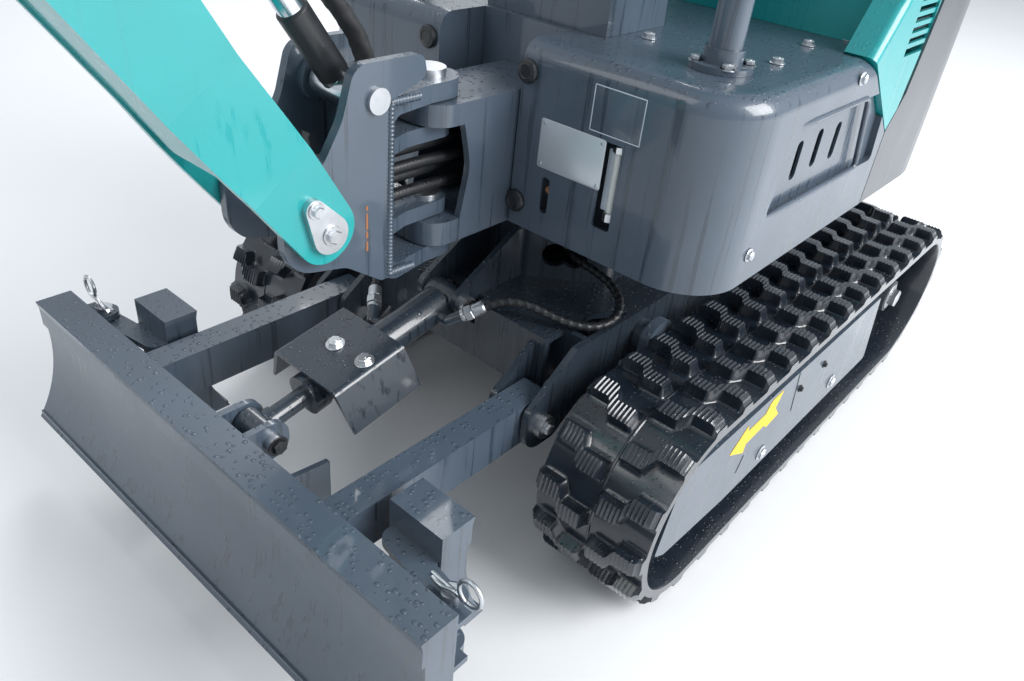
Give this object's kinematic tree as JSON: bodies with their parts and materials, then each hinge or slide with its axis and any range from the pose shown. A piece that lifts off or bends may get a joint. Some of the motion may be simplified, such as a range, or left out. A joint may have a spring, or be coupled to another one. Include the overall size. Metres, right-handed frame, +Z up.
{
  "type": "mini excavator",
  "caption": "Compact rubber-tracked excavator with canopy, swing boom, digging arm and bucket, and a dozer blade with folding wings.",
  "frame": {"origin": "on the ground under the middle of the machine's box at rest", "axes": "+X is the machine's left, -Y is forward towards the bucket, +Z is up"},
  "size_m": [0.91, 2.4149, 2.206],
  "materials": {
    "grey_paint": "satin",
    "teal_paint": "gloss",
    "cast_grey": "satin",
    "steel": "satin",
    "zinc": "satin",
    "chrome": "mirror",
    "track_rubber": "matte",
    "hose_rubber": "matte",
    "black_plastic": "matte",
    "seat_vinyl": "satin"
  },
  "bodies": {
    "undercarriage": {"carbody": "grey_paint", "slide_tubes": "grey_paint", "slew_ring": "steel", "carbody_pins": "zinc", "track_frame_left": "grey_paint", "track_frame_right": "grey_paint", "track_left": "track_rubber", "track_right": "track_rubber", "idlers": "cast_grey", "sprockets": "cast_grey", "rollers": "cast_grey", "blade_hoses": "hose_rubber"},
    "dozer": {"dozer_blade": "grey_paint", "blade_pins": "zinc"},
    "blade_cylinder": {"blade_barrel": "grey_paint", "rod_guard": "grey_paint"},
    "blade_cylinder_rod": {"blade_rod": "chrome"},
    "blade_wing_left": {"wing_left": "grey_paint"},
    "blade_wing_right": {"wing_right": "grey_paint"},
    "house": {"house_frame": "grey_paint", "cover_left": "grey_paint", "cover_right": "grey_paint", "deck_plate": "grey_paint", "console": "black_plastic", "control_levers": "black_plastic", "side_panel_left": "teal_paint", "side_panel_right": "teal_paint", "seat_base": "teal_paint", "rear_housing": "teal_paint", "counterweight": "cast_grey", "engine_block": "cast_grey", "seat_cushion": "seat_vinyl", "seat_back": "seat_vinyl", "canopy_frame": "grey_paint", "roof": "teal_paint", "post_hoses": "hose_rubber"},
    "rear_bonnet": {"bonnet": "teal_paint"},
    "bracket": {"swing_bracket": "grey_paint", "bracket_pins": "zinc", "hose_sleeve": "hose_rubber"},
    "boom_body": {"boom": "teal_paint", "boom_pins": "zinc"},
    "boom_cylinder": {"boom_barrel": "grey_paint"},
    "boom_cylinder_rod": {"boom_rod": "chrome"},
    "arm_body": {"arm": "teal_paint", "arm_pins": "zinc"},
    "arm_cylinder": {"arm_barrel": "grey_paint"},
    "arm_cylinder_rod": {"arm_rod": "chrome"},
    "bucket_cylinder": {"bucket_barrel": "grey_paint"},
    "bucket_cylinder_rod": {"bucket_rod": "chrome"},
    "rocker_body": {"rocker": "grey_paint"},
    "link_body": {"link": "grey_paint"},
    "bucket_body": {"bucket": "grey_paint"}
  },
  "joints": [
    {"name": "slew", "type": "hinge", "parent": "undercarriage", "child": "house", "pos_m": [0, 0.61846, 0.45], "axis": [0, 0, 1], "continuous": true},
    {"name": "swing", "type": "hinge", "parent": "house", "child": "bracket", "pos_m": [0, 0.07846, 0.545], "axis": [0, 0, 1], "range_deg": [-60, 55], "deforming": ["post_hoses"]},
    {"name": "boom_lift", "type": "hinge", "parent": "bracket", "child": "boom_body", "pos_m": [0, -0.14054, 0.541], "axis": [-1, 0, 0], "range_deg": [-86, 14], "deforming": ["hose_sleeve"]},
    {"name": "arm_crowd", "type": "hinge", "parent": "boom_body", "child": "arm_body", "pos_m": [0, -1.06179, 1.1996], "axis": [1, 0, 0], "range_deg": [-76, 22]},
    {"name": "bucket_curl", "type": "hinge", "parent": "arm_body", "child": "bucket_body", "pos_m": [0, -1.03667, 0.48004], "axis": [1, 0, 0], "range_deg": [-116, 20]},
    {"name": "dozer_lift", "type": "hinge", "parent": "undercarriage", "child": "dozer", "pos_m": [0, 0.09946, 0.228], "axis": [-1, 0, 0], "range_deg": [-30, 14]},
    {"name": "wing_left_fold", "type": "hinge", "parent": "dozer", "child": "blade_wing_left", "pos_m": [0.367, -0.22054, 0.2], "axis": [0, 0, -1], "range_deg": [0, 180]},
    {"name": "wing_right_fold", "type": "hinge", "parent": "dozer", "child": "blade_wing_right", "pos_m": [-0.367, -0.22054, 0.2], "axis": [0, 0, 1], "range_deg": [0, 180]},
    {"name": "bonnet_open", "type": "hinge", "parent": "house", "child": "rear_bonnet", "pos_m": [0, 1.15676, 0.971], "axis": [1, 0, 0], "range_deg": [0, 80]},
    {"name": "blade_cylinder_swing", "type": "hinge", "parent": "undercarriage", "child": "blade_cylinder", "pos_m": [0, 0.13346, 0.32], "axis": [-1, 0, 0], "range_deg": [-26.03, 12.68], "deforming": ["blade_hoses"]},
    {"name": "blade_cylinder_stroke", "type": "slide", "parent": "blade_cylinder", "child": "blade_cylinder_rod", "axis": [0, -0.9795, -0.2017], "range_m": [-0.01916, 0.0399]},
    {"name": "boom_cylinder_swing", "type": "hinge", "parent": "boom_body", "child": "boom_cylinder", "pos_m": [0, -0.36993, 1.11098], "axis": [-1, 0, 0], "range_deg": [-1.71, 5.35]},
    {"name": "boom_cylinder_stroke", "type": "slide", "parent": "boom_cylinder", "child": "boom_cylinder_rod", "axis": [0, 0.5793, -0.8151], "range_m": [-0.03605, 0.21632]},
    {"name": "arm_cylinder_swing", "type": "hinge", "parent": "boom_body", "child": "arm_cylinder", "pos_m": [0, -0.48796, 1.13407], "axis": [1, 0, 0], "range_deg": [-5.12, 2.19]},
    {"name": "arm_cylinder_stroke", "type": "slide", "parent": "arm_cylinder", "child": "arm_cylinder_rod", "axis": [0, -0.9643, 0.2647], "range_m": [-0.14199, 0.04181]},
    {"name": "rocker_swing", "type": "hinge", "parent": "arm_body", "child": "rocker_body", "pos_m": [0, -1.09608, 0.63406], "axis": [1, 0, 0], "range_deg": [-117, 21]},
    {"name": "link_swing", "type": "hinge", "parent": "rocker_body", "child": "link_body", "pos_m": [0, -1.14605, 0.5316], "axis": [1, 0, 0], "range_deg": [-21, 117]},
    {"name": "bucket_cylinder_swing", "type": "hinge", "parent": "arm_body", "child": "bucket_cylinder", "pos_m": [0, -1.18225, 1.06731], "axis": [1, 0, 0], "range_deg": [-7.28, 2.08]},
    {"name": "bucket_cylinder_stroke", "type": "slide", "parent": "bucket_cylinder", "child": "bucket_cylinder_rod", "axis": [0, 0.0674, -0.9977], "range_m": [-0.18079, 0.032]}
  ],
  "couplings": [
    {"joint": "blade_cylinder_swing", "follows": "dozer_lift", "ratio": 0.83443},
    {"joint": "blade_cylinder_stroke", "follows": "dozer_lift", "m_per_rad": -0.074301},
    {"joint": "boom_cylinder_swing", "follows": "boom_lift", "ratio": -0.050531},
    {"joint": "boom_cylinder_stroke", "follows": "boom_lift", "m_per_rad": -0.14345},
    {"joint": "arm_cylinder_swing", "follows": "arm_crowd", "ratio": 0.054246},
    {"joint": "arm_cylinder_stroke", "follows": "arm_crowd", "m_per_rad": 0.10629},
    {"joint": "rocker_swing", "follows": "bucket_curl", "ratio": 1},
    {"joint": "link_swing", "follows": "bucket_curl", "ratio": -1},
    {"joint": "bucket_cylinder_swing", "follows": "bucket_curl", "ratio": 0.054097},
    {"joint": "bucket_cylinder_stroke", "follows": "bucket_curl", "m_per_rad": 0.088804}
  ]
}
